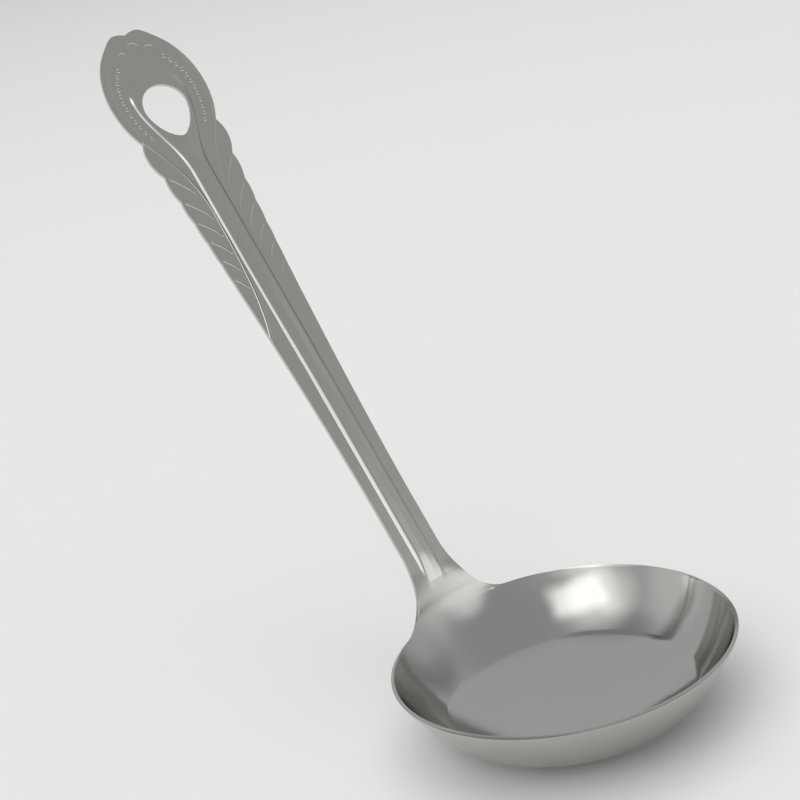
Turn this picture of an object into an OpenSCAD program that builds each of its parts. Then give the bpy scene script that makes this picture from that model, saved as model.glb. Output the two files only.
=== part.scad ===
// Soup ladle pressed from polished stainless sheet: a round bowl whose back wall rises into a
// neck, and a stamped leaf handle that stands on the neck. Frame: +Z up, +X towards the handle,
// origin at the centre of the bowl's flat foot. Millimetres.

/* [Bowl] */
// Outside diameter of the bowl at the rim
bowl_d = 95; // [80:0.5:110]
// Height of the rim above the foot
bowl_depth = 22; // [18:0.5:30]
// Diameter of the flat foot under the bowl
foot_d = 20; // [14:1:30]
// Slope of the shallow floor where it turns up into the wall, in degrees
floor_slope = 25; // [20:1:30]
// Thickness of the bowl's sheet
bowl_sheet = 1; // [0.8:0.1:1.5]

/* [Neck] */
// Height up the sheet from the rim to the joint with the handle
neck_height = 9.5; // [8:0.5:13]
// Slope of the neck at its steepest, in degrees
neck_slope = 75; // [71:1:80]
// Half of the rim's arc that flares into the neck, in degrees
neck_arc = 23.5; // [20:0.5:40]
// Length up the sheet over which the flare narrows to the shank
flare_height = 19.5; // [15:0.5:22]

/* [Handle] */
// Slope of the handle above the rim plane, in degrees
handle_slope = 60; // [52:1:70]
// Length of the handle from the joint to the top of the head
handle_len = 186.5; // [175:0.5:200]
// Thickness of the handle's sheet
handle_sheet = 1; // [0.8:0.1:1.5]
// Width of the shank at its narrowest
shank_w = 13.4; // [12:0.2:16]
// Distance from the joint at which the leaf begins to widen
leaf_start = 25; // [15:1:35]

/* [Leaf] */
// Width across the leaf at the notch under the head
leaf_w = 26.4; // [25:0.2:29]
// Length of the first scallop, next to the head
first_scallop = 11.7; // [9:0.1:13]
// Length that the scallops shrink to towards the shank
scallop = 7; // [6:0.1:8]
// Number of scallops on each edge
scallops = 7; // [4:1:9]
// Height of the first scallop above the line through its notches
scallop_rise = 1.6; // [0.8:0.1:2]

/* [Head] */
// Width across the head
head_w = 33.1; // [31:0.1:36]
// Length of the head from its widest place to the top
head_top = 21.5; // [20:0.5:24]
// Length of the head from its widest place down to the notch under it
head_low = 13; // [11:0.5:15]
// Height that each lobe of the crown stands out of the head's oval
crown_lobe = 1; // [0.4:0.1:1.6]
// Depth of the notch between the two lobes
crown_notch = 0.6; // [0.3:0.1:1.2]

/* [Hanging hole] */
// Width of the hole
hole_w = 15; // [12:0.1:16]
// Length of the hole above its widest place
hole_top = 7.3; // [6:0.1:8]
// Length of the hole below its widest place
hole_tip = 10.3; // [9:0.1:12]
// Distance from the top of the head to the hole's widest place
hole_drop = 25.8; // [24:0.1:27]

/* [Relief] */
// Height of the rib's crest above the sheet
rib_rise = 1.1; // [0.8:0.1:1.6]
// Height of the steep step at the foot of the rib and of the ring round the hole
rib_step = 0.5; // [0.3:0.1:0.7]
// Width of the rib at its foot
rib_w = 6.5; // [5:0.1:7.5]
// Width of the raised ring beside the hole
ring_w = 2; // [1.6:0.1:3]

/* [Hidden] */
$fn = 128;

deg = 180 / PI;
steel = "#b4b2ac";
bowl_r = bowl_d / 2;
foot_r = foot_d / 2;
shank = shank_w / 2;

function ramp(x, start, end) = min(max((x - start) / (end - start), 0), 1);
function smooth(x) = pow(sin(90 * x), 2);
function bump(x, width) = exp(-pow(x / width, 2));
function oval(x, half, length) = half * sqrt(max(1 - pow(x / length, 2), 0));

// Outside of the bowl's sheet: a shallow floor round the foot, a short turn up, and the wall.
// Each is an arc that starts at the last one's slope.
function arc_centre(start, r, slope) = start + r * [-sin(slope), cos(slope)];
function arc_at(centre, r, slope) = centre + r * [sin(slope), -cos(slope)];
floor_share = 0.716;
floor_start = [foot_r, 0];
floor_arc_r = (bowl_r * floor_share - foot_r) / sin(floor_slope);
floor_centre = arc_centre(floor_start, floor_arc_r, 0);
turn_arc_r = 8;
turn_slope = 42;
turn_centre = arc_centre(arc_at(floor_centre, floor_arc_r, floor_slope), turn_arc_r, floor_slope);
wall_start = arc_at(turn_centre, turn_arc_r, turn_slope);
wall_chord = [bowl_r, bowl_depth] - wall_start;
wall_slope = 2 * atan2(wall_chord[1], wall_chord[0]) - turn_slope;
wall_arc_r = wall_chord[0] / (sin(wall_slope) - sin(turn_slope));
wall_centre = arc_centre(wall_start, wall_arc_r, turn_slope);

// Middle line of the sheet, h up from the rim: it steepens in the neck, then bends to the
// handle's slope. Each of the two stretches is an arc.
rim_r = bowl_r - bowl_sheet / 2 * sin(wall_slope);
rim_z = bowl_depth + bowl_sheet / 2 * cos(wall_slope);
rise_len = 4;
bend_len = 8;
function risen(h) = min(max(h, 0), rise_len);
function bent(h) = min(max(h - rise_len, 0), bend_len);
function straight(h) = max(h - rise_len - bend_len, 0);
function rise_slope(h) = wall_slope + (neck_slope - wall_slope) * risen(h) / rise_len;
function bend_slope(h) = neck_slope + (handle_slope - neck_slope) * bent(h) / bend_len;
function slope(h) = h < rise_len ? rise_slope(h) : bend_slope(h);
function arc_x(from, to, len) = from == to ? 0 : len * deg * (sin(to) - sin(from)) / (to - from);
function arc_z(from, to, len) = from == to ? 0 : len * deg * (cos(from) - cos(to)) / (to - from);
function line_x(h) = rim_r + min(h, 0) * cos(wall_slope)
    + arc_x(wall_slope, rise_slope(h), risen(h))
    + arc_x(neck_slope, bend_slope(h), bent(h))
    + straight(h) * cos(handle_slope);
function line_z(h) = rim_z + min(h, 0) * sin(wall_slope)
    + arc_z(wall_slope, rise_slope(h), risen(h))
    + arc_z(neck_slope, bend_slope(h), bent(h))
    + straight(h) * sin(handle_slope);

// Half width of the flare: a quarter oval, from the rim's arc to the shank.
flare = rim_r * neck_arc / deg - shank;
function flare_w(h) = shank + flare - oval(1 - ramp(h, 0, flare_height), flare, 1);

// The cross-section has the rim's curve as far as curve_end, and is flat from flat_start.
curve_end = 6;
flat_start = 14;
function curve(h) = (1 - smooth(ramp(h, curve_end, flat_start))) / rim_r;
function turn(y, h) = curve(h) * y * deg;
function sag(y, h) = curve(h) > 0 ? (1 - cos(turn(y, h))) / curve(h) : 0;
function across(y, h) = curve(h) > 0 ? sin(turn(y, h)) / curve(h) : y;

// A point of the sheet: y across, h up from the rim, out along the front normal.
function place(y, h, out) = [
    line_x(h) - sag(y, h) - out * sin(slope(h)) * cos(turn(y, h)),
    across(y, h) - out * sin(slope(h)) * sin(turn(y, h)),
    line_z(h) + out * cos(slope(h))
];

// Faces of a sheet of rows by columns. at(front, i, j) numbers its points, and edge_rows are
// the rows along which the first column is an edge.
function quad(a, b, c, d) = [[a, b, c], [a, c, d]];
function sheet_faces(at, rows, cols, edge_rows) = concat(
    [for (i = [0 : rows - 1], j = [0 : cols - 1])
        each quad(at(true, i, j), at(true, i + 1, j), at(true, i + 1, j + 1), at(true, i, j + 1))],
    [for (i = [0 : rows - 1], j = [0 : cols - 1])
        each quad(at(false, i, j), at(false, i, j + 1), at(false, i + 1, j + 1), at(false, i + 1, j))],
    [for (i = edge_rows)
        each quad(at(true, i, 0), at(false, i, 0), at(false, i + 1, 0), at(true, i + 1, 0))],
    [for (i = [0 : rows - 1])
        each quad(at(true, i + 1, cols), at(false, i + 1, cols), at(false, i, cols), at(true, i, cols))],
    [for (j = [0 : cols - 1])
        each quad(at(true, 0, j + 1), at(false, 0, j + 1), at(false, 0, j), at(true, 0, j))],
    [for (j = [0 : cols - 1])
        each quad(at(true, rows, j), at(false, rows, j), at(false, rows, j + 1), at(true, rows, j + 1))]
);
function turned(face) = [face[2], face[1], face[0]];

// Neck: its root stands inside the wall, neck_root down from the rim.
neck_rows = 16;
neck_cols = 12;
neck_root = 1.2;
root_inset = 0.06;
root_top = 0.1;
function neck_h(i) = i == 0 ? -neck_root
    : root_top + (neck_height - root_top) * (1 - cos(90 * (i - 1) / (neck_rows - 1)));
function neck_out(i) = bowl_sheet / 2 - (i < 2 ? root_inset : 0);
function neck_y(i, j) = flare_w(max(neck_h(i), root_top)) * (2 * j / neck_cols - 1);
function neck_at(front, i, j) = (front ? 0 : (neck_rows + 1) * (neck_cols + 1)) + i * (neck_cols + 1) + j;

module neck() {
    points = [for (side = [1, -1], i = [0 : neck_rows], j = [0 : neck_cols])
        place(neck_y(i, j), neck_h(i), side * neck_out(i))];
    faces = sheet_faces(function(front, i, j) neck_at(front, i, j), neck_rows, neck_cols, [0 : neck_rows - 1]);
    polyhedron(points, [for (face = faces) turned(face)], convexity = 6);
}

// Half section of one face of the bowl's sheet, inset from the outside.
floor_steps = 10;
turn_steps = 6;
wall_steps = 12;
function arc(centre, r, from, to, count) = [for (i = [1 : count])
    arc_at(centre, r, from + (to - from) * i / count)];
function section(inset) = concat(
    [[0, inset], [foot_r, inset]],
    arc(floor_centre, floor_arc_r - inset, 0, floor_slope, floor_steps),
    arc(turn_centre, turn_arc_r - inset, floor_slope, turn_slope, turn_steps),
    arc(wall_centre, wall_arc_r - inset, turn_slope, wall_slope, wall_steps));
function reversed(list) = [for (i = [len(list) - 1 : -1 : 0]) list[i]];

module bowl() {
    color(steel) {
        rotate_extrude()
            polygon(concat(section(0), reversed(section(bowl_sheet))));
        neck();
    }
}

// Outline of the handle, at distance s from the joint: shank, leaf with scallops, oval head.
head_mid = handle_len - head_top;
head_root = head_mid - head_low;
head_base = head_low / sqrt(1 - pow(leaf_w / head_w, 2));
leaf_power = 1.6;
function leaf_half(s) = (leaf_w / 2 - shank) * pow(ramp(s, leaf_start, head_root), leaf_power);

scallop_shrink = 0.36;
function scallop_len(k) = scallop + (first_scallop - scallop) * pow(scallop_shrink, k);
function notch_at(k) = k == 0 ? head_root : notch_at(k - 1) - scallop_len(k - 1);
leaf_tip = notch_at(scallops);
function part_of(s, k) = (s - notch_at(k + 1)) / scallop_len(k);
function lobe(s, k) = let (u = part_of(s, k), size = scallop_len(k) / first_scallop)
    scallop_rise * pow(size, 3) * 4 * u * (1 - u);
function lobes(s) = max([for (k = [0 : scallops - 1]) max(lobe(s, k), 0)]) * ramp(s, leaf_tip, notch_at(2));

function head_half(s) = oval(s - head_mid, head_w / 2, s > head_mid ? head_top : head_base);
function outline(s) = s > head_root ? head_half(s) : flare_w(s + neck_height) + leaf_half(s) + lobes(s);

// Crown: the top of the head's oval, with a lobe on each side of a small notch.
lobe_at = 5;
lobe_width = 2.6;
notch_width = 1.3;
function crown(y) = head_mid + oval(y, head_top, head_w / 2)
    + crown_lobe * bump(y - lobe_at, lobe_width) - crown_notch * bump(y, notch_width);

// Hanging hole: round above, a blunt point below.
hole_mid = handle_len - hole_drop;
hole_low = hole_mid - hole_tip;
hole_high = hole_mid + hole_top;
tip_power = 1.7;
tip_bluntness = 0.65;
function tip_half(q) = hole_w / 2 * pow(max(1 - pow(q, tip_power), 0), tip_bluntness);
function hole_half(s) = s < hole_mid ? tip_half((hole_mid - s) / hole_tip)
    : oval(s - hole_mid, hole_w / 2, hole_top);

// Relief of the front: a rib like a low roof on a step. The step widens into a ring round the hole,
// and dies away above it.
rib_start = 1.5;
rib_ramp = 8;
fork = head_root - 13;
ring_foot = hole_w / 2 + ring_w;
step_flank = 0.8;
soft_flank = 1.8;
ring_end = head_mid + 8;
ring_length = 10.6;
function spread(s) = smooth(ramp(s, fork, head_mid));
function foot_half(s) = s < head_mid ? rib_w / 2 + (ring_foot - rib_w / 2) * spread(s)
    : oval(s - head_mid, ring_foot, ring_length);
function flank(s) = step_flank + (soft_flank - step_flank) * ramp(s, head_mid, ring_end);
function fade(s) = smooth(ramp(s, rib_start, rib_start + rib_ramp))
    * (1 - smooth(ramp(s, head_mid, ring_end)));
function step(y, s) = rib_step * smooth(ramp(foot_half(s) - y, 0, flank(s)));
function roof(y, s) = (rib_rise - rib_step) * (1 - spread(s)) * ramp(foot_half(s) - y, 0, foot_half(s));
function relief(y, s) = fade(s) * (step(y, s) + (s < head_mid ? roof(y, s) : 0));

// Rows of points along the handle: foot, shank, scallops, hole, crown.
foot_rows = 10;
foot_end = 12;
shank_rows = 20;
lobe_rows = 6;
web_rows = 8;
hole_rows = 18;
top_rows = 10;
function stretch(from, to, count) = [for (i = [0 : count - 1]) from + (to - from) * i / count];
low_s = concat(
    stretch(0, foot_end, foot_rows),
    stretch(foot_end, leaf_tip, shank_rows),
    [for (k = [scallops - 1 : -1 : 1]) each stretch(notch_at(k + 1), notch_at(k), lobe_rows)],
    stretch(notch_at(1), hole_low, web_rows),
    [for (i = [0 : hole_rows]) hole_low + (hole_high - hole_low) * (1 - cos(180 * i / hole_rows)) / 2]);
hole_start = len(low_s) - hole_rows - 1;
top_start = len(low_s) - 1;
handle_rows = top_start + top_rows;
function on_axis(i) = i <= hole_start || i >= top_start;
function top_part(i) = max(i - top_start, 0) / top_rows;

// Columns from the axis, or the hole's edge, up the relief, down its step and on to the outline.
// Above the hole the outer column climbs the head's side to the corner where the crown begins.
half_cols = 8;
brink_col = 2;
foot_col = 4;
least_web = 0.5;
corner_part = 0.63;
corner = head_top * corner_part;
corner_y = head_half(head_mid + corner);
function row_s(i) = low_s[min(i, top_start)];
function edge_s(i) = row_s(i) + (head_mid + corner - hole_high) * top_part(i);
function edge_y(i) = outline(edge_s(i));
function inner_y(i) = on_axis(i) ? 0 : hole_half(row_s(i));
function foot_y(i) = let (foot = max(foot_half(row_s(i)), inner_y(i) + least_web))
    foot + (edge_y(i) / 2 - foot) * top_part(i);
function brink_y(i) = max(foot_y(i) - flank(row_s(i)), (inner_y(i) + foot_y(i)) / 2);
function between(from, to, j, first, last) = from + (to - from) * (j - first) / (last - first);
function point_y(i, j) = j < brink_col ? between(inner_y(i), brink_y(i), j, 0, brink_col)
    : j < foot_col ? between(brink_y(i), foot_y(i), j, brink_col, foot_col)
    : between(foot_y(i), edge_y(i), j, foot_col, half_cols);
function point_s(i, j) = row_s(i)
    + (crown(corner_y * point_y(i, j) / edge_y(i)) - hole_high) * top_part(i);
function handle_point(side, face, i, j) = let (y = point_y(i, j), s = point_s(i, j))
    place(side * y, s + neck_height, face * handle_sheet / 2 + relief(y, s));

// The two halves share their points on the axis.
half_points = (handle_rows + 1) * (half_cols + 1);
function handle_at(side, front, i, j) = (front ? 0 : 2 * half_points) + i * (half_cols + 1) + j
    + (side > 0 || j == 0 && on_axis(i) ? 0 : half_points);
function half_faces(side) = sheet_faces(function(front, i, j) handle_at(side, front, i, j),
    handle_rows, half_cols, [hole_start : top_start - 1]);

module handle() {
    points = [for (face = [1, -1], side = [1, -1], i = [0 : handle_rows], j = [0 : half_cols])
        handle_point(side, face, i, j)];
    faces = concat([for (face = half_faces(1)) turned(face)], half_faces(-1));
    color(steel)
        polyhedron(points, faces, convexity = 8);
}

bowl();
handle();
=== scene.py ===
"""Looks of a pressed stainless steel soup ladle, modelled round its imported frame."""

import math

import bmesh
import bpy
from mathutils import Matrix, Vector


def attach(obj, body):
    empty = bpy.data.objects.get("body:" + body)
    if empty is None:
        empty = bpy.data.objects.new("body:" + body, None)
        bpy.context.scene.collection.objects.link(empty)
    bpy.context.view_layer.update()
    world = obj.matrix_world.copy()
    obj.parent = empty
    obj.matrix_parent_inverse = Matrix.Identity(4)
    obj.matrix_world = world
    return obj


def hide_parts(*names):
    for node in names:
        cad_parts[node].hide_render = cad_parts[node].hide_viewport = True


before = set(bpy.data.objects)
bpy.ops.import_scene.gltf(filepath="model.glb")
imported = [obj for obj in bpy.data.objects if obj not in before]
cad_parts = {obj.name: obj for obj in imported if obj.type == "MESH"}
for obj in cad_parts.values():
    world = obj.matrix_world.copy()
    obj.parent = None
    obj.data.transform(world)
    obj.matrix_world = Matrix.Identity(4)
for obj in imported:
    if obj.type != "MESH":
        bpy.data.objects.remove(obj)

bl_info = {
    "name": "Soup ladle",
    "version": (1, 1, 0),
    "blender": (4, 5, 0),
    "location": "View3D > Sidebar > Ladle",
    "description": "Models a pressed steel soup ladle with a leaf handle and its studio",
    "category": "Add Mesh",
}

MM = 0.001
DEG = math.pi / 180


def length(name, description, millimetres):
    """A length property, given in millimetres."""
    return bpy.props.FloatProperty(
        name=name, description=description, default=millimetres * MM,
        unit="LENGTH", subtype="DISTANCE", precision=5)


def angle(name, description, degrees):
    """An angle property, given in degrees."""
    return bpy.props.FloatProperty(
        name=name, description=description, default=degrees * DEG, unit="ROTATION", subtype="ANGLE")


def hex_colour(code):
    """Linear RGBA of an sRGB hex colour."""
    channels = [int(code[i:i + 2], 16) / 255 for i in (1, 3, 5)]
    linear = [c / 12.92 if c <= 0.04045 else ((c + 0.055) / 1.055) ** 2.4 for c in channels]
    return (*linear, 1.0)


def colour(name, description, code):
    """A colour property, given as an sRGB hex code."""
    return bpy.props.FloatVectorProperty(
        name=name, description=description, default=hex_colour(code), size=4, subtype="COLOR", min=0, max=1)


class LadleSizes(bpy.types.PropertyGroup):
    """Sizes of the bowl, neck and handle."""

    bowl_width: length("Bowl width", "Across the rim", 95)
    bowl_depth: length("Bowl depth", "Height of the rim above the foot", 22)
    foot_width: length("Foot width", "Across the flat foot", 20)
    floor_slope: angle("Floor slope", "Where the floor turns up into the wall", 25)
    sheet: length("Sheet", "Thickness of the steel", 1)
    rim_edge: length("Rim edge", "Rounding of the bowl's cut edge", 0.2)
    handle_edge: length("Handle edge", "Rounding of the handle's cut edge", 0.3)
    neck_height: length("Neck height", "From the rim up the sheet to the joint", 9.5)
    neck_slope: angle("Neck slope", "At its steepest", 75)
    neck_arc: angle("Neck arc", "Half of the rim's arc that flares into the neck", 23.5)
    flare_height: length("Flare height", "Length over which the flare narrows", 19.5)
    rise_length: length("Rise", "Length over which the neck steepens", 4)
    bend_length: length("Bend", "Length over which it bends back to the handle", 8)
    curve_end: length("Curve end", "Where the rim's curve across the neck begins to flatten", 6)
    flat_start: length("Flat start", "Where the sheet is flat across", 14)
    handle_slope: angle("Handle slope", "Above the rim plane", 60)
    handle_length: length("Handle length", "From the joint to the top of the head", 186.5)
    shank_width: length("Shank width", "At its narrowest", 13.4)
    leaf_start: length("Leaf start", "From the joint to where the leaf widens", 25)
    leaf_width: length("Leaf width", "At the notch under the head", 26.4)
    first_scallop: length("First scallop", "Length of the scallop next to the head", 11.7)
    scallop: length("Scallop", "Length that the scallops shrink to", 7)
    scallop_rise: length("Scallop rise", "Height of the first scallop", 1.6)
    head_width: length("Head width", "Across the head", 33.1)
    head_top: length("Head top", "From the head's widest place to its top", 21.5)
    head_low: length("Head low", "From the head's widest place to the notch under it", 13)
    crown_lobe: length("Crown lobe", "How far the crown's two lobes stand out", 0.9)
    crown_notch: length("Crown notch", "Between the crown's two lobes", 0.6)
    hole_width: length("Hole width", "Across the hanging hole", 15)
    hole_top: length("Hole top", "Length of the hole above its widest place", 7.3)
    hole_tip: length("Hole tip", "Length of the hole below its widest place", 10.3)
    hole_drop: length("Hole drop", "From the top of the head to the hole's widest place", 25.8)
    rib_rise: length("Rib rise", "Height of the rib's crest", 1.1)
    rib_width: length("Rib width", "Of the rib at its foot", 6.5)
    rib_flank: length("Rib flank", "Width of the rib's steep flank in the leaf", 0.62)
    rib_step: length("Rib step", "Height of the rib's steep flank in the leaf", 0.5)
    ring_width: length("Ring width", "Of the raised ring beside the hole", 2)
    line_rise: length("Line rise", "Height of the leaf's fine lines", 0.2)
    line_width: length("Line width", "Half width of the leaf's fine lines", 0.34)
    bead_width: length("Bead width", "Across a bead of the head's border", 1.35)
    bead_pitch: length("Bead pitch", "Between two beads", 2.2)
    scallops: bpy.props.IntProperty(name="Scallops", description="On each edge", default=7, min=4, max=9)


class LadleColours(bpy.types.PropertyGroup):
    """Colours of the steel and the studio."""

    bowl: colour("Bowl steel", "Polished stainless steel", "#bfbebb")
    handle: colour("Handle steel", "Pressed stainless steel", "#c8c7c3")
    floor: colour("Floor", "Pale studio floor", "#ededec")
    room: colour("Room", "Light that the steel mirrors", "#ffffff")


# Shape of the sheet: the same rules as the frame's own, at a finer pitch.


def ramp(value, start, end):
    """A straight ramp from 0 at start to 1 at end."""
    return min(max((value - start) / (end - start), 0), 1)


def smooth(share):
    """Rounds a ramp off at both ends."""
    return math.sin(math.pi / 2 * share) ** 2


def bump(distance, width):
    """A rounded ridge of unit height."""
    return math.exp(-((distance / width) ** 2))


def oval(distance, half, length):
    """Half width of an oval at a distance along it."""
    return half * math.sqrt(max(1 - (distance / length) ** 2, 0))


def arc_centre(start, radius, slope):
    """Centre of an arc that leaves start at a slope and curves upwards."""
    return start + radius * Vector((-math.sin(slope), math.cos(slope)))


def arc_at(centre, radius, slope):
    """The place on an arc where it has a slope."""
    return centre + radius * Vector((math.sin(slope), -math.cos(slope)))


class Sheet:
    """The ladle's pressed sheet: h runs up from the rim and s up from the joint."""

    # Bowl: the floor's share of the rim, and the tight turn up to the wall.
    FLOOR_SHARE, TURN_RADIUS, TURN_SLOPE = 0.716, 8 * MM, 42 * DEG
    # Leaf: how its edge widens, and how much shorter each scallop is than the one above.
    LEAF_POWER, SHRINK = 1.6, 0.36
    # Crown: place and width of its lobes, width of its notch, and where its corners stand.
    LOBE_AT, LOBE_WIDTH, NOTCH_WIDTH, CORNER = 5 * MM, 2.6 * MM, 1.3 * MM, 0.63
    # Hole: the curve of its lower half.
    TIP_POWER, TIP_BLUNTNESS = 1.7, 0.65
    # Rib: where it rises, counted from the joint, and how much softer its flanks are there.
    RIB_START, RIB_FULL, NECK_SOFT = -4 * MM, 9 * MM, 1.2 * MM
    # Step: how much higher it is on the shank, and where it comes down to the leaf's height.
    SHANK_STEP, SHANK_END, LEAF_FULL = 0.4 * MM, 55 * MM, 105 * MM
    # Flanks: how much gentler the right one is, its limit, and how much softer both get in the head.
    SOFT_SIDE, SOFT_MOST, TOP_SOFT = 1.5, 1.1 * MM, 1.3 * MM
    # Ring: where the rib starts to widen into it, where it fades and how far up it reaches.
    FORK_DROP, RING_FADE, RING_LENGTH = 13 * MM, 8 * MM, 10.6 * MM
    # Border of the head: a low soft ridge inside its edge.
    BORDER_RISE, BORDER_INSET, BORDER_WIDTH = 0.2 * MM, 1.5 * MM, 0.9 * MM
    # Beads: half widths of the oval that they follow, across, up and down, and where they start.
    BEAD_OVAL, BEAD_UP, BEAD_DOWN, BEAD_START = 12.3 * MM, 14.7 * MM, 19.5 * MM, 48 * DEG
    # Leaf line: distance from the axis, and how it runs out at both ends.
    LINE_GAP, LINE_SPREAD, LINE_END, LINE_CURVE = 3.6 * MM, 1.5 * MM, 52 * MM, 13.5 * MM
    LINE_HEAD, LINE_HEAD_LENGTH = 9.2 * MM, 27 * MM
    # Veins: how far they run down, how that shrinks, their curve, and their gap to the leaf line.
    VEIN_DROP, VEIN_SHRINK, VEIN_POWER, VEIN_LOW = 9.4 * MM, 0.86, 1.4, 1.2 * MM
    # Their numbers begin and end here, and run ahead of the notches by the drift.
    FIRST_VEIN, LAST_VEIN, VEIN_DRIFT = 0.6, 6.4, 0.085
    # The right half's lines are pressed this much fainter.
    FAINT_SIDE = 0.3
    # Mesh columns of one half: all of them, up to the step's brink, and up to its foot.
    HALF_COLUMNS, BRINK_COLUMN, FOOT_COLUMN = 42, 12, 18

    def __init__(self, sizes):
        self.sizes = sizes
        self.wall_slope, self.arcs = self.bowl_arcs()
        self.rim_radius = sizes.bowl_width / 2 - sizes.sheet / 2 * math.sin(self.wall_slope)
        self.rim_height = sizes.bowl_depth + sizes.sheet / 2 * math.cos(self.wall_slope)
        self.shank = sizes.shank_width / 2
        self.flare = self.rim_radius * sizes.neck_arc - self.shank
        self.head_mid = sizes.handle_length - sizes.head_top
        self.head_root = self.head_mid - sizes.head_low
        self.head_base = sizes.head_low / math.sqrt(1 - (sizes.leaf_width / sizes.head_width) ** 2)
        self.hole_mid = sizes.handle_length - sizes.hole_drop
        self.hole_low = self.hole_mid - sizes.hole_tip
        self.hole_high = self.hole_mid + sizes.hole_top
        self.fork = self.head_root - self.FORK_DROP
        self.notches = [self.head_root]
        for k in range(sizes.scallops):
            extra = (sizes.first_scallop - sizes.scallop) * self.SHRINK ** k
            self.notches.append(self.notches[-1] - sizes.scallop - extra)

    def bowl_arcs(self):
        """Slope at the rim, and the arcs of the floor, the turn and the wall on the outside."""
        sizes, turn_radius, turn_slope = self.sizes, self.TURN_RADIUS, self.TURN_SLOPE
        foot = sizes.foot_width / 2
        floor_radius = (sizes.bowl_width / 2 * self.FLOOR_SHARE - foot) / math.sin(sizes.floor_slope)
        floor_centre = arc_centre(Vector((foot, 0)), floor_radius, 0)
        turn_start = arc_at(floor_centre, floor_radius, sizes.floor_slope)
        turn_centre = arc_centre(turn_start, turn_radius, sizes.floor_slope)
        wall_start = arc_at(turn_centre, turn_radius, turn_slope)
        chord = Vector((sizes.bowl_width / 2, sizes.bowl_depth)) - wall_start
        wall_slope = 2 * math.atan2(chord.y, chord.x) - turn_slope
        wall_radius = chord.x / (math.sin(wall_slope) - math.sin(turn_slope))
        wall_centre = arc_centre(wall_start, wall_radius, turn_slope)
        return wall_slope, (
            (floor_centre, floor_radius, 0, sizes.floor_slope, 24),
            (turn_centre, turn_radius, sizes.floor_slope, turn_slope, 12),
            (wall_centre, wall_radius, turn_slope, wall_slope, 24))

    def slope(self, h):
        """Slope of the sheet above the rim plane."""
        sizes = self.sizes
        if h < sizes.rise_length:
            return self.wall_slope + (sizes.neck_slope - self.wall_slope) * max(h, 0) / sizes.rise_length
        bent = ramp(h, sizes.rise_length, sizes.rise_length + sizes.bend_length)
        return sizes.neck_slope + (sizes.handle_slope - sizes.neck_slope) * bent

    def centreline(self, h):
        """Place of the sheet's middle line: two arcs, then a straight line."""
        sizes = self.sizes
        x, z, left = self.rim_radius, self.rim_height, h
        start = self.wall_slope
        for end, span in ((sizes.neck_slope, sizes.rise_length), (sizes.handle_slope, sizes.bend_length)):
            part = min(max(left, 0), span)
            now = start + (end - start) * part / span
            if part > 0:
                x += part * (math.sin(now) - math.sin(start)) / (now - start)
                z += part * (math.cos(start) - math.cos(now)) / (now - start)
            left -= span
            start = end
        return x + max(left, 0) * math.cos(start), z + max(left, 0) * math.sin(start)

    def curve(self, h):
        """Curvature across the sheet: the rim's own, flattening up the neck."""
        return (1 - smooth(ramp(h, self.sizes.curve_end, self.sizes.flat_start))) / self.rim_radius

    def point(self, y, h, out=0.0):
        """A point of the sheet: y across, h up from the rim, out along the front normal."""
        x, z = self.centreline(h)
        tilt, curve = self.slope(h), self.curve(h)
        turn = y * curve
        sag, side = ((1 - math.cos(turn)) / curve, math.sin(turn) / curve) if curve > 0 else (0, y)
        return Vector((
            x - sag - out * math.sin(tilt) * math.cos(turn),
            side - out * math.sin(tilt) * math.sin(turn),
            z + out * math.cos(tilt)))

    def past_joint(self, place):
        """How far a point stands past the joint between bowl and handle."""
        h = self.sizes.neck_height
        x, z = self.centreline(h)
        x -= self.curve(h) * place.y ** 2 / 2
        return (place.x - x) * math.cos(self.slope(h)) + (place.z - z) * math.sin(self.slope(h))

    def flare_half(self, h):
        """Half width of the neck: a quarter oval from the rim to the shank."""
        return self.shank + self.flare - oval(1 - ramp(h, 0, self.sizes.flare_height), self.flare, 1)

    def outline(self, s):
        """Half width of the handle."""
        sizes = self.sizes
        if s > self.head_root:
            reach = sizes.head_top if s > self.head_mid else self.head_base
            return oval(s - self.head_mid, sizes.head_width / 2, reach)
        lobe = 0
        for high, low in zip(self.notches, self.notches[1:]):
            if low < s < high:
                part = (s - low) / (high - low)
                size = ((high - low) / sizes.first_scallop) ** 3
                lobe = sizes.scallop_rise * size * 4 * part * (1 - part)
        return self.leaf_edge(s) + lobe * ramp(s, self.notches[-1], self.notches[2])

    def crown(self, y):
        """Top edge of the head: an oval with two lobes and a notch."""
        sizes, side = self.sizes, abs(y)
        return (self.head_mid + oval(side, sizes.head_top, sizes.head_width / 2)
                + sizes.crown_lobe * bump(side - self.LOBE_AT, self.LOBE_WIDTH)
                - sizes.crown_notch * bump(side, self.NOTCH_WIDTH))

    def hole_half(self, s):
        """Half width of the hanging hole: round above, a blunt point below."""
        sizes = self.sizes
        if s >= self.hole_mid:
            return oval(s - self.hole_mid, sizes.hole_width / 2, sizes.hole_top)
        drop = min((self.hole_mid - s) / sizes.hole_tip, 1)
        return sizes.hole_width / 2 * (1 - drop ** self.TIP_POWER) ** self.TIP_BLUNTNESS

    def spread(self, s):
        """How far the rib has widened into the ring round the hole."""
        return smooth(ramp(s, self.fork, self.head_mid))

    def relief_half(self, s):
        """Half width of the rib, or of the ring, at its foot."""
        ring_foot = self.sizes.hole_width / 2 + self.sizes.ring_width
        if s > self.head_mid:
            return oval(s - self.head_mid, ring_foot, self.RING_LENGTH)
        return self.sizes.rib_width / 2 + (ring_foot - self.sizes.rib_width / 2) * self.spread(s)

    def risen(self, s):
        """How far the rib has risen out of the neck, from below the joint to above it."""
        return smooth(ramp(s, self.RIB_START, self.RIB_FULL))

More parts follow.
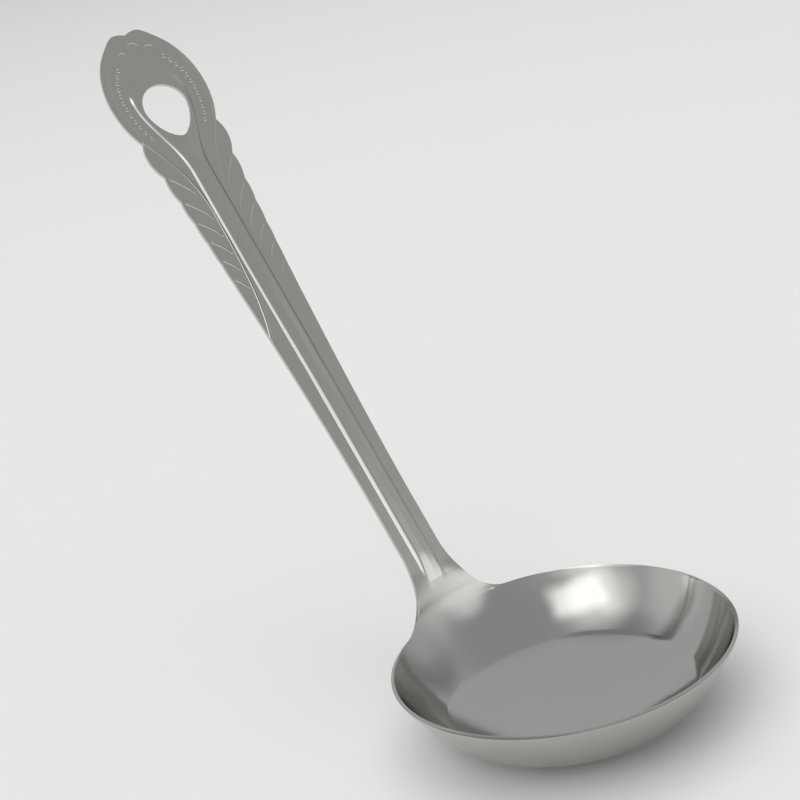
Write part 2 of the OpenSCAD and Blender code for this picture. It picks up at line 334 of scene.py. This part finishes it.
    def step_height(self, s):
        """Height of the steep step at the rib's foot: more on the shank than in the leaf."""
        return self.sizes.rib_step + self.SHANK_STEP * (1 - smooth(ramp(s, self.SHANK_END, self.LEAF_FULL)))

    def flank(self, side, s):
        """Width of the step: softer in the neck, above the hole and on the right side."""
        taller = self.step_height(s) / self.sizes.rib_step
        steep = self.sizes.rib_flank * taller * max(self.risen(s), 0.1)
        steep += self.NECK_SOFT * (1 - smooth(ramp(s, self.RIB_START, -self.RIB_START)))
        steep += self.TOP_SOFT * ramp(s, self.head_mid, self.head_mid + self.RING_FADE)
        return steep if side > 0 else min(steep * self.SOFT_SIDE, steep + self.SOFT_MOST)

    def relief(self, y, s):
        """Height of the rib: a roof on a step, which widens into a ring round the hole."""
        sizes = self.sizes
        foot = self.relief_half(s)
        inside = foot - abs(y)
        height = self.step_height(s)
        step = height * ramp(inside, 0, self.flank(y, s))
        roof = (sizes.rib_rise - height) * (1 - self.spread(s)) * ramp(inside, 0, max(foot, MM))
        share = self.risen(s) * (1 - smooth(ramp(s, self.head_mid, self.head_mid + self.RING_FADE)))
        return share * (step + roof) + self.border(y, s)

    def across(self, side, column, s, inner, edge, top_part):
        """Distance from the axis of a column: up to the relief's brink, down its step, out to the edge."""
        foot = max(self.relief_half(s), inner + 0.5 * MM)
        foot += (edge / 2 - foot) * top_part
        brink = max(foot - self.flank(side, s), (inner + foot) / 2)
        if column < self.BRINK_COLUMN:
            return inner + (brink - inner) * column / self.BRINK_COLUMN
        if column < self.FOOT_COLUMN:
            part = (column - self.BRINK_COLUMN) / (self.FOOT_COLUMN - self.BRINK_COLUMN)
            return brink + (foot - brink) * part
        part = (column - self.FOOT_COLUMN) / (self.HALF_COLUMNS - self.FOOT_COLUMN)
        return foot + (edge - foot) * part

    def border(self, y, s):
        """Height of the soft border inside the head's edge."""
        if s < self.head_root:
            return 0
        inset = self.outline(min(s, self.head_mid + 0.8 * self.sizes.head_top)) - abs(y)
        share = ramp(s, self.head_root, self.head_root + 4 * MM)
        share *= ramp(-s, -self.head_mid - 16 * MM, -self.head_mid - 8 * MM)
        return self.BORDER_RISE * share * bump(inset - self.BORDER_INSET, self.BORDER_WIDTH)

    def bead_places(self):
        """Places of the beads beside the hole, an even pitch apart on an oval."""
        places, gone, last = [], 0, None
        for step in range(600):
            turn = self.BEAD_START - step * 0.16 * DEG
            reach = self.BEAD_UP if turn > 0 else self.BEAD_DOWN
            now = Vector((self.BEAD_OVAL * math.cos(turn), self.head_mid + reach * math.sin(turn)))
            gone += (now - last).length if last else 0
            last = now
            if gone >= len(places) * self.sizes.bead_pitch and now.y > self.head_root:
                places.append(now)
        return places

    def leaf_line(self, s):
        """Distance from the axis of the line along the leaf."""
        drop = self.head_root - s
        spread = self.LINE_SPREAD * math.exp((drop - self.LINE_END) / self.LINE_CURVE)
        head = self.LINE_HEAD * ramp(-drop, -self.LINE_HEAD_LENGTH, 0) ** 2
        return self.LINE_GAP + spread + head

    def leaf_edge(self, s):
        """Half width of the leaf without its scallops."""
        sizes = self.sizes
        grown = ramp(s, sizes.leaf_start, self.head_root) ** self.LEAF_POWER
        return self.flare_half(s + sizes.neck_height) + (sizes.leaf_width / 2 - self.shank) * grown

    def vein(self, side, s):
        """Number of the vein that would pass here: whole on a vein, running on between two."""
        start = s
        for _ in range(5):
            number = self.notch_number(start)
            drop = self.VEIN_DROP * self.VEIN_SHRINK ** max(number - 1, 0)
            low = self.leaf_line(start - drop) + self.VEIN_LOW
            across = ramp(side, low, max(self.leaf_edge(start), low + 2 * MM))
            start = s + drop * (1 - across ** (1 / self.VEIN_POWER))
        return self.notch_number(start)

    def notch_number(self, s):
        """Number of the notch at s, counted from the head and running on between two."""
        for k, (high, low) in enumerate(zip(self.notches, self.notches[1:])):
            if s > low:
                return k + (high - s) / (high - low)
        return len(self.notches) - 1

    def marks(self, y, s):
        """What the shader draws fine lines from: gap to the leaf line, vein number, rate and shares."""
        side = abs(y)
        pressed = 1 if y > 0 else self.FAINT_SIDE
        step = 0.25 * MM
        lean = (self.leaf_line(s + step) - self.leaf_line(s - step)) / (2 * step)
        gap = (side - self.leaf_line(s)) / math.hypot(1, lean)
        if s > self.head_root + MM or s < self.notches[-1] - 14 * MM:
            return 9 * MM, 0.5, 1, 0, 0
        number = self.vein(side, s)
        number += self.VEIN_DRIFT * max(number - 2, 0)
        rate = math.hypot(
            self.vein(side + step, s) - self.vein(side - step, s),
            self.vein(side, s + step) - self.vein(side, s - step)) / (2 * step)
        share = ramp(gap, 0.9 * MM, 1.8 * MM)
        share *= ramp(number, self.FIRST_VEIN, self.FIRST_VEIN + 0.2)
        share *= ramp(number, self.LAST_VEIN, self.LAST_VEIN - 0.2)
        share *= ramp(self.outline(s) - side, 0.5 * MM, 1.5 * MM)
        return gap, number, rate * MM, share, pressed


# Mesh helpers.

MARKS = ("leaf_gap", "vein_number", "vein_rate", "vein_share", "pressed_share")
BEAD_WIRE, PETAL_WIRE = 0.2 * MM, 0.14 * MM
# Petals: place across, drop below the top and radius in millimetres, and lean in degrees.
PETALS = ((0, 6.2, 2.6, 0), (4.8, 7.8, 2.2, 30), (-4.8, 7.8, 2.2, -30))
# The floor's dish: its depth, and the radii where it starts, is deepest and ends.
DISH_DEPTH, DISH_START, DISH_FULL, DISH_END = 0.4 * MM, 3 * MM, 14 * MM, 34 * MM
# Edges nearer to the joint than this are left square.
JOINT_REACH = 0.2 * MM


def finished(name, bm, node, material):
    """Turns a bmesh of the middle surface into a steel piece that stands for a node."""
    sizes = bpy.context.scene.ladle_sizes
    sheet = Sheet(sizes)
    mesh = bpy.data.meshes.new(name)
    bm.to_mesh(mesh)
    bm.free()
    piece = bpy.data.objects.new(name, mesh)
    bpy.context.scene.collection.objects.link(piece)
    mesh.materials.append(material)
    wall = piece.modifiers.new("Sheet", "SOLIDIFY")
    wall.thickness = sizes.sheet
    wall.offset = 0
    wall.use_even_offset = False
    evaluated = piece.evaluated_get(bpy.context.evaluated_depsgraph_get())
    solid = bpy.data.meshes.new_from_object(evaluated)
    piece.modifiers.clear()
    piece.data = solid
    round_edges(solid, sheet, sizes.handle_edge if node == "handle" else sizes.rim_edge)
    if node == "handle":
        add_ornament(solid, sheet)
    else:
        dish_floor(solid)
    for polygon in solid.polygons:
        polygon.use_smooth = True
    solid.set_sharp_from_angle(angle=40 * DEG)
    bpy.data.meshes.remove(mesh)
    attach(piece, "root")
    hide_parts(node)
    return piece


def add_ring(bm, sheet, y, s, radius, wire, start=0, sweep=360):
    """Spins a small circle into a ring, or an arc of one, half sunk in the handle's front."""
    h = s + sheet.sizes.neck_height
    middle = sheet.point(y, h, sheet.relief(y, s) + sheet.sizes.sheet / 2)
    along = Vector((math.cos(sheet.slope(h)), 0, math.sin(sheet.slope(h))))
    side = Vector((0, 1, 0))
    up = along.cross(side) * -1
    out = along * math.cos(start * DEG) + side * math.sin(start * DEG)
    turn = Matrix((out, up, out.cross(up))).transposed().to_4x4()
    circle = bmesh.ops.create_circle(
        bm, segments=8, radius=wire, matrix=Matrix.Translation(middle + out * radius) @ turn)["verts"]
    edges = list({e for v in circle for e in v.link_edges})
    bmesh.ops.spin(
        bm, geom=circle + edges, cent=middle, axis=up, angle=sweep * DEG,
        steps=max(round(sweep / 18), 4), use_merge=sweep == 360)


def add_ornament(mesh, sheet):
    """Presses the beads beside the hole and the petals under the crown."""
    bm = bmesh.new()
    places = sheet.bead_places()
    for i, place in enumerate(places):
        radius = sheet.sizes.bead_width / 2 * (1.15 - 0.25 * i / len(places)) - BEAD_WIRE
        for side in (1, -1):
            add_ring(bm, sheet, side * place.x, place.y, radius, BEAD_WIRE)
    top = sheet.sizes.handle_length
    for y, drop, radius, lean in PETALS:
        add_ring(bm, sheet, y * MM, top - drop * MM, radius * MM, PETAL_WIRE, lean + 75, 150)
    bmesh.ops.recalc_face_normals(bm, faces=bm.faces)
    ornament = bpy.data.meshes.new("ornament")
    bm.to_mesh(ornament)
    bm.clear()
    bm.from_mesh(mesh)
    bm.from_mesh(ornament)
    bm.to_mesh(mesh)
    bm.free()
    bpy.data.meshes.remove(ornament)


def round_edges(mesh, sheet, width):
    """Rounds the sheet's cut edges, all but those of the ground joint."""
    bm = bmesh.new()
    bm.from_mesh(mesh)
    edges = [
        e for e in bm.edges
        if e.is_manifold and e.calc_face_angle() > 60 * DEG
        and any(abs(sheet.past_joint(v.co)) > JOINT_REACH for v in e.verts)]
    bmesh.ops.bevel(
        bm, geom=edges, offset=width, offset_type="OFFSET", segments=3,
        profile=0.5, affect="EDGES", clamp_overlap=True)
    bm.to_mesh(mesh)
    bm.free()


def dish_floor(mesh):
    """Lets the floor's curve begin inside the foot on the front, as drawn sheet has no corner there."""
    front = [v for v in mesh.vertices if v.normal.z > 0 and math.hypot(v.co.x, v.co.y) < DISH_END]
    for vert in front:
        reach = math.hypot(vert.co.x, vert.co.y)
        share = smooth(ramp(reach, DISH_START, DISH_FULL)) * (1 - ramp(reach, DISH_FULL, DISH_END))
        vert.co.z += DISH_DEPTH * share


def bowl_mesh(sizes):
    """Middle surface of the bowl and its neck."""
    bm = bmesh.new()
    sheet = Sheet(sizes)
    inset = sizes.sheet / 2
    foot_steps, turns = 8, 360
    section = [(sizes.foot_width / 2 * i / foot_steps, inset) for i in range(foot_steps + 1)]
    for centre, radius, start, end, steps in sheet.arcs:
        slopes = [start + (end - start) * i / steps for i in range(1, steps + 1)]
        section += [arc_at(centre, radius - inset, slope) for slope in slopes]
    verts = [bm.verts.new((r, 0, z)) for r, z in section]
    edges = [bm.edges.new(pair) for pair in zip(verts, verts[1:])]
    bmesh.ops.spin(
        bm, geom=verts + edges, cent=(0, 0, 0), axis=(0, 0, 1), angle=2 * math.pi,
        steps=turns, use_merge=True)
    bmesh.ops.remove_doubles(bm, verts=bm.verts, dist=0.001 * MM)
    raise_neck(bm, sheet)
    bmesh.ops.recalc_face_normals(bm, faces=bm.faces)
    return bm


def raise_neck(bm, sheet):
    """Extrudes the rim's edges at the back row by row into the flared neck."""
    rows = 40
    sizes = sheet.sizes

    def turn(vert):
        return math.atan2(vert.co.y, vert.co.x)

    def on_neck(vert):
        return vert.co.z > sheet.rim_height - 0.01 * MM and abs(turn(vert)) < sizes.neck_arc + 0.001

    row = [e for e in bm.edges if all(on_neck(v) for v in e.verts)]
    widest = max(abs(turn(v)) for e in row for v in e.verts)
    shares = {v: turn(v) / widest for e in row for v in e.verts}
    for i in range(1, rows + 1):
        h = sizes.neck_height * (1 - math.cos(math.pi / 2 * i / rows))
        made = bmesh.ops.extrude_edge_only(bm, edges=row)["geom"]
        row = [g for g in made if isinstance(g, bmesh.types.BMEdge)]
        old = {tuple(v.co): share for v, share in shares.items()}
        fresh = [g for g in made if isinstance(g, bmesh.types.BMVert)]
        shares = {v: old[tuple(v.co)] for v in fresh}
        for vert, share in shares.items():
            y = share * sheet.flare_half(h)
            vert.co = sheet.point(y, h, sheet.relief(y, h - sizes.neck_height))


def stretch(start, end, pitch):
    """Places from start up to end, end left out, about a pitch apart."""
    count = max(round((end - start) / pitch), 1)
    return [start + (end - start) * i / count for i in range(count)]


def handle_mesh(sizes):
    """Middle surface of the handle: two halves that meet on the axis and round the hole."""
    bm = bmesh.new()
    sheet = Sheet(sizes)
    hole, top, columns, pitch = 60, 56, sheet.HALF_COLUMNS, 0.32 * MM
    notches = sheet.notches
    places = stretch(0, 12 * MM, 0.4 * MM) + stretch(12 * MM, notches[-1], 0.9 * MM)
    for low, high in zip(notches[:0:-1], notches[-2:0:-1]):
        places += stretch(low, high, pitch)
    places += stretch(notches[1], sheet.hole_low, pitch)
    low = len(places)
    span = sheet.hole_high - sheet.hole_low
    places += [sheet.hole_low + span * (1 - math.cos(math.pi * i / hole)) / 2 for i in range(hole + 1)]
    places += [sheet.hole_high] * top
    rows = len(places) - 1
    corner = sheet.head_mid + sizes.head_top * sheet.CORNER
    corner_half = sheet.outline(corner)
    layers = [bm.verts.layers.float.new(name) for name in MARKS]
    for side in (1, -1):
        grid = bmesh.ops.create_grid(bm, x_segments=rows, y_segments=columns, size=0.5)["verts"]
        for vert in grid:
            i = round((vert.co.x + 0.5) * rows)
            column = round((vert.co.y + 0.5) * columns)
            start = places[i]
            part = max(i - low - hole, 0) / top
            inner = sheet.hole_half(start) if low < i < low + hole else 0
            edge = sheet.outline(start + (corner - sheet.hole_high) * part)
            y = sheet.across(side, column, start, inner, edge, part)
            s = start + (sheet.crown(corner_half * y / edge) - sheet.hole_high) * part
            vert.co = sheet.point(side * y, s + sizes.neck_height, sheet.relief(side * y, s))
            for layer, value in zip(layers, sheet.marks(side * y, s)):
                vert[layer] = value
    bmesh.ops.remove_doubles(bm, verts=bm.verts, dist=0.004 * MM)
    bmesh.ops.recalc_face_normals(bm, faces=bm.faces)
    return bm


# Materials.

# Satin patch of the neck: its middle, where it begins and ends to fade, how far its edge wanders
# and the roughness that it adds.
SATIN_PLACE = Vector((47, 3, 27)) * MM
SATIN_FULL, SATIN_END, SATIN_WANDER, SATIN_ROUGHNESS = 6 * MM, 22 * MM, 8 * MM, 0.16


def per(millimetres):
    """Scale of a pattern whose repeat is this long."""
    return 1 / (millimetres * MM)


def add_node(nodes, links, kind, settings=None, inputs=None):
    """Adds a shader node with its settings, values and links."""
    node = nodes.new(kind)
    for key, value in (settings or {}).items():
        setattr(node, key, value)
    for key, value in (inputs or {}).items():
        if isinstance(value, bpy.types.NodeSocket):
            links.new(value, node.inputs[key])
        else:
            node.inputs[key].default_value = value
    return node


def read(nodes, links, name):
    """A value that the piece's mesh carries."""
    return add_node(nodes, links, "ShaderNodeAttribute", {"attribute_name": name}).outputs["Fac"]


def work_out(nodes, links, operation, *values):
    """A sum, product or other step of arithmetic."""
    inputs = dict(enumerate(values))
    return add_node(nodes, links, "ShaderNodeMath", {"operation": operation}, inputs).outputs[0]


def fade(nodes, links, value, start, end, interpolation):
    """Falls softly from 1 at start to 0 at end."""
    return add_node(nodes, links, "ShaderNodeMapRange", {"interpolation_type": interpolation}, {
        "Value": value, "From Min": start, "From Max": end, "To Min": 1.0, "To Max": 0.0}).outputs["Result"]


def ridge(nodes, links, distance, half_width):
    """Height from 1 to 0 over half a line's width: steeper on the outside than on the inside."""
    off = work_out(nodes, links, "MAXIMUM", distance, work_out(nodes, links, "MULTIPLY", distance, -0.6))
    return fade(nodes, links, off, 0.0, half_width, "SMOOTHSTEP")


def leaf_lines(nodes, links, half_width):
    """The line along the leaf and its veins, pressed as fine ridges."""
    leaf = ridge(nodes, links, read(nodes, links, "leaf_gap"), half_width)
    number = read(nodes, links, "vein_number")
    off = work_out(nodes, links, "SUBTRACT", number, work_out(nodes, links, "ROUND", number))
    off = work_out(nodes, links, "DIVIDE", off, read(nodes, links, "vein_rate"))
    vein = ridge(nodes, links, work_out(nodes, links, "MULTIPLY", off, MM), half_width)
    vein = work_out(nodes, links, "MULTIPLY", vein, read(nodes, links, "vein_share"))
    lines = work_out(nodes, links, "MAXIMUM", leaf, vein)
    return work_out(nodes, links, "MULTIPLY", lines, read(nodes, links, "pressed_share"))


def soften_neck(nodes, links, shader, rough, place, normal):
    """Gives the neck the satin patch and the streaks that grinding the joint leaves."""
    stir = add_node(nodes, links, "ShaderNodeTexNoise", inputs={
        "Vector": place, "Scale": per(6.67), "Detail": 3})
    far = add_node(nodes, links, "ShaderNodeVectorMath", {"operation": "DISTANCE"}, {
        0: place, 1: SATIN_PLACE}).outputs["Value"]
    far = work_out(nodes, links, "MULTIPLY_ADD", stir.outputs["Fac"], SATIN_WANDER, far)
    share = fade(nodes, links, far, SATIN_FULL, SATIN_END, "SMOOTHSTEP")
    rougher = work_out(nodes, links, "MULTIPLY_ADD", share, SATIN_ROUGHNESS, rough)
    links.new(rougher, shader.inputs["Roughness"])
    drawn = add_node(nodes, links, "ShaderNodeMapping", {"vector_type": "POINT"}, {
        "Vector": place, "Rotation": (0.5, 0.0, 0.3), "Scale": (1.0, 0.12, 1.0)}).outputs["Vector"]
    streaks = add_node(nodes, links, "ShaderNodeTexNoise", inputs={
        "Vector": drawn, "Scale": per(0.91), "Detail": 3})
    depth = work_out(nodes, links, "MULTIPLY", streaks.outputs["Fac"], share)
    rubbed = add_node(nodes, links, "ShaderNodeBump", inputs={
        "Height": depth, "Strength": 0.5, "Distance": 0.02 * MM, "Normal": normal})
    links.new(rubbed.outputs["Normal"], shader.inputs["Normal"])


def steel(name, base, roughness, grain, depth, satin=False):
    """Stainless steel: a grey mirror with rubbing marks of a grain and depth in millimetres."""
    material = bpy.data.materials.new(name)
    material.use_nodes = True
    nodes, links = material.node_tree.nodes, material.node_tree.links
    shader = nodes["Principled BSDF"]
    shader.inputs["Base Color"].default_value = base
    shader.inputs["Metallic"].default_value = 1
    place = add_node(nodes, links, "ShaderNodeTexCoord").outputs["Object"]
    cloud = add_node(nodes, links, "ShaderNodeTexNoise", inputs={
        "Vector": place, "Scale": per(16.7), "Detail": 4})
    rough = add_node(nodes, links, "ShaderNodeMapRange", inputs={
        "Value": cloud.outputs["Fac"], "From Min": 0.3, "From Max": 0.7,
        "To Min": roughness * 0.85, "To Max": roughness * 1.2})
    links.new(rough.outputs["Result"], shader.inputs["Roughness"])
    marks = add_node(nodes, links, "ShaderNodeTexNoise", inputs={
        "Vector": place, "Scale": per(grain), "Detail": 3})
    dent = add_node(nodes, links, "ShaderNodeBump", inputs={
        "Height": marks.outputs["Fac"], "Strength": 1, "Distance": depth * MM})
    links.new(dent.outputs["Normal"], shader.inputs["Normal"])
    if satin:
        swell = add_node(nodes, links, "ShaderNodeTexNoise", inputs={
            "Vector": place, "Scale": per(11.8), "Detail": 1})
        wave = add_node(nodes, links, "ShaderNodeBump", inputs={
            "Height": swell.outputs["Fac"], "Strength": 1, "Distance": 0.15 * MM,
            "Normal": dent.outputs["Normal"]})
        soften_neck(nodes, links, shader, rough.outputs["Result"], place, wave.outputs["Normal"])
    return material


def press_lines(material, sizes):
    """Adds the leaf's fine lines to the handle's steel."""
    nodes, links = material.node_tree.nodes, material.node_tree.links
    shader = nodes["Principled BSDF"]
    height = leaf_lines(nodes, links, sizes.line_width)
    before = shader.inputs["Normal"].links[0].from_socket
    lines = add_node(nodes, links, "ShaderNodeBump", inputs={
        "Height": height, "Strength": 1, "Distance": sizes.line_rise, "Normal": before})
    links.new(lines.outputs["Normal"], shader.inputs["Normal"])


def floor_material(base):
    """Matt painted board, a pale studio floor."""
    material = bpy.data.materials.new("painted board, matt")
    material.use_nodes = True
    shader = material.node_tree.nodes["Principled BSDF"]
    shader.inputs["Base Color"].default_value = base
    shader.inputs["Roughness"].default_value = 0.9
    return material


# Operators.


class LADLE_OT_bowl(bpy.types.Operator):
    """Model the bowl and its neck"""

    bl_idname = "ladle.bowl"
    bl_label = "Bowl"

    def execute(self, context):
        scene = context.scene
        # Drawn and polished by hand: clear reflections with a slow waviness, satin at the joint.
        material = steel(
            "stainless steel, polished", scene.ladle_colours.bowl,
            roughness=0.1, grain=0.8, depth=0.0012, satin=True)
        finished("polished_bowl", bowl_mesh(scene.ladle_sizes), "bowl", material)
        return {"FINISHED"}


class LADLE_OT_handle(bpy.types.Operator):
    """Model the pressed leaf handle"""

    bl_idname = "ladle.handle"
    bl_label = "Handle"

    def execute(self, context):
        scene = context.scene
        # Pressed, then tumbled bright: softer reflections with a fine grain.
        material = steel(
            "stainless steel, pressed", scene.ladle_colours.handle,
            roughness=0.15, grain=0.5, depth=0.006)
        press_lines(material, scene.ladle_sizes)
        finished("leaf_handle", handle_mesh(scene.ladle_sizes), "handle", material)
        return {"FINISHED"}


# Studio: the camera's place comes from fitting the rim and the handle's edges in the photograph.
VIEW_TARGET = Vector((41.7, 4.3, 90.0)) * MM
VIEW_AZIMUTH = 144.38
VIEW_ELEVATION = 19.27
VIEW_DISTANCE = 521 * MM
VIEW_ROLL = -13.1
SENSOR = 36.0
LENS = 85.5
CLIP_START = 10 * MM
FLOOR_HALF = 6
FILL_SIZE, FILL_ENERGY, FILL_PLACE = 3, 32, Vector((0.1, 0.1, 2.5))

ROOM_LEVEL = 0.57
# Soft round lights and dark places of the room, in round values, so that the steel mirrors about
# what the real one did: azimuth, elevation and reach in degrees, and the light added.
GLOWS = {
    "round the window": (100, 45, 30, 0.45),
    "under the window": (115, 20, 20, 0.25),
    "window sill": (115, 10, 20, 0.7),
    "wall right of the sill": (130, 20, 15, 0.3),
    "lamp before the neck": (200, 10, 25, 0.75),
    "beside the lamp": (170, 5, 20, 0.6),
    "table's far edge": (240, 0, 35, 0.3),
    "dim ceiling": (195, 50, 60, -0.15),
    "dark corner": (255, 10, 30, -0.3),
    "dark corner's end": (300, 15, 15, -0.3),
    "dim ceiling behind": (50, 65, 30, -0.25),
    "pale wall behind": (45, 15, 30, 0.2),
}
# Windows and dark frames: azimuth, elevation, half width, half height, softness and roll in
# degrees, and the light added.
PANELS = {
    "window": (120, 45, 16, 10, 10, 20, 1.0),
    "side window": (95, 40, 6, 14, 10, 30, 0.35),
    "door frame": (30, 30, 4, 20, 10, 10, -0.45),
}


def look(eye, target, roll=0.0):
    """Matrix of a camera or light at eye that faces target."""
    back = (eye - target).normalized()
    side = Vector((0, 0, 1)).cross(back).normalized()
    up = back.cross(side)
    turn = Matrix((side, up, back)).transposed().to_4x4()
    return Matrix.Translation(eye) @ turn @ Matrix.Rotation(roll * DEG, 4, "Z")


def heading(azimuth, elevation):
    """Direction of an azimuth and elevation in degrees."""
    turn, rise = azimuth * DEG, elevation * DEG
    return Vector((math.cos(rise) * math.cos(turn), math.cos(rise) * math.sin(turn), math.sin(rise)))


def facing(nodes, links, way, direction):
    """How far a way of light points along a direction, from -1 to 1."""
    return add_node(nodes, links, "ShaderNodeVectorMath", {"operation": "DOT_PRODUCT"}, {
        0: way, 1: direction}).outputs["Value"]


def panel(nodes, links, way, azimuth, elevation, half_width, half_height, softness, roll):
    """Share of a soft-edged panel of the room in a way of light."""
    out = heading(azimuth, elevation)
    side = Vector((0, 0, 1)).cross(out).normalized()
    side = Matrix.Rotation(roll * DEG, 3, out) @ side
    share = work_out(nodes, links, "GREATER_THAN", facing(nodes, links, way, out), 0)
    for axis, half in ((side, half_width), (out.cross(side), half_height)):
        off = work_out(nodes, links, "ABSOLUTE", facing(nodes, links, way, axis))
        start, end = (math.sin((half + sign * softness / 2) * DEG) for sign in (-1, 1))
        share = work_out(nodes, links, "MULTIPLY", share, fade(nodes, links, off, start, end, "SMOOTHSTEP"))
    return share


def room(base):
    """World light: an even grey room with soft bright and dark places."""
    world = bpy.data.worlds.new("room")
    world.use_nodes = True
    nodes, links = world.node_tree.nodes, world.node_tree.links
    sky = nodes["Background"]
    sky.inputs["Color"].default_value = base
    way = add_node(nodes, links, "ShaderNodeTexCoord").outputs["Generated"]
    level = work_out(nodes, links, "ADD", ROOM_LEVEL, 0)
    for azimuth, elevation, reach, light in GLOWS.values():
        off = work_out(nodes, links, "SUBTRACT", 1, facing(nodes, links, way, heading(azimuth, elevation)))
        share = fade(nodes, links, off, 0.0, 1 - math.cos(reach * DEG), "SMOOTHERSTEP")
        level = work_out(nodes, links, "MULTIPLY_ADD", share, light, level)
    for *shape, light in PANELS.values():
        level = work_out(nodes, links, "MULTIPLY_ADD", panel(nodes, links, way, *shape), light, level)
    links.new(work_out(nodes, links, "MAXIMUM", level, 0.02), sky.inputs["Strength"])
    return world


class LADLE_OT_stage(bpy.types.Operator):
    """Set up the floor, the soft light and the camera"""

    bl_idname = "ladle.stage"
    bl_label = "Stage"

    def execute(self, context):
        scene = context.scene
        colours = scene.ladle_colours
        bm = bmesh.new()
        bmesh.ops.create_grid(bm, x_segments=1, y_segments=1, size=FLOOR_HALF)
        mesh = bpy.data.meshes.new("floor")
        bm.to_mesh(mesh)
        bm.free()
        mesh.materials.append(floor_material(colours.floor))
        floor = bpy.data.objects.new("floor", mesh)
        scene.collection.objects.link(floor)
        scene.world = room(colours.room)
        scene.view_settings.view_transform = "Standard"
        fill = bpy.data.lights.new("fill", "AREA")
        fill.size = FILL_SIZE
        fill.energy = FILL_ENERGY
        lamp = bpy.data.objects.new("fill", fill)
        lamp.matrix_world = look(FILL_PLACE, VIEW_TARGET)
        lamp.visible_glossy = False
        scene.collection.objects.link(lamp)
        data = bpy.data.cameras.new("camera")
        data.sensor_width = SENSOR
        data.lens = LENS
        data.clip_start = CLIP_START
        camera = bpy.data.objects.new("camera", data)
        eye = VIEW_TARGET + VIEW_DISTANCE * heading(VIEW_AZIMUTH, VIEW_ELEVATION)
        camera.matrix_world = look(eye, VIEW_TARGET, VIEW_ROLL)
        scene.collection.objects.link(camera)
        scene.camera = camera
        return {"FINISHED"}


class LADLE_PT_panel(bpy.types.Panel):
    """Lists the ladle's operators and sizes"""

    bl_idname = "LADLE_PT_panel"
    bl_label = "Soup ladle"
    bl_space_type = "VIEW_3D"
    bl_region_type = "UI"
    bl_category = "Ladle"

    def draw(self, context):
        for operator in OPERATORS:
            self.layout.operator(operator.bl_idname)
        for group in (context.scene.ladle_sizes, context.scene.ladle_colours):
            for key in group.__annotations__:
                self.layout.prop(group, key)


OPERATORS = (LADLE_OT_stage, LADLE_OT_bowl, LADLE_OT_handle)
CLASSES = (LadleSizes, LadleColours, *OPERATORS, LADLE_PT_panel)


def register():
    """Registers the classes and the scene's properties."""
    for cls in CLASSES:
        bpy.utils.register_class(cls)
    bpy.types.Scene.ladle_sizes = bpy.props.PointerProperty(type=LadleSizes)
    bpy.types.Scene.ladle_colours = bpy.props.PointerProperty(type=LadleColours)


def unregister():
    """Takes the properties and classes away again."""
    del bpy.types.Scene.ladle_colours
    del bpy.types.Scene.ladle_sizes
    for cls in reversed(CLASSES):
        bpy.utils.unregister_class(cls)


def main():
    """Builds the ladle and its studio."""
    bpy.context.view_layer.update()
    register()
    bpy.ops.ladle.stage()
    bpy.ops.ladle.bowl()
    bpy.ops.ladle.handle()


if __name__ == "__main__":
    main()
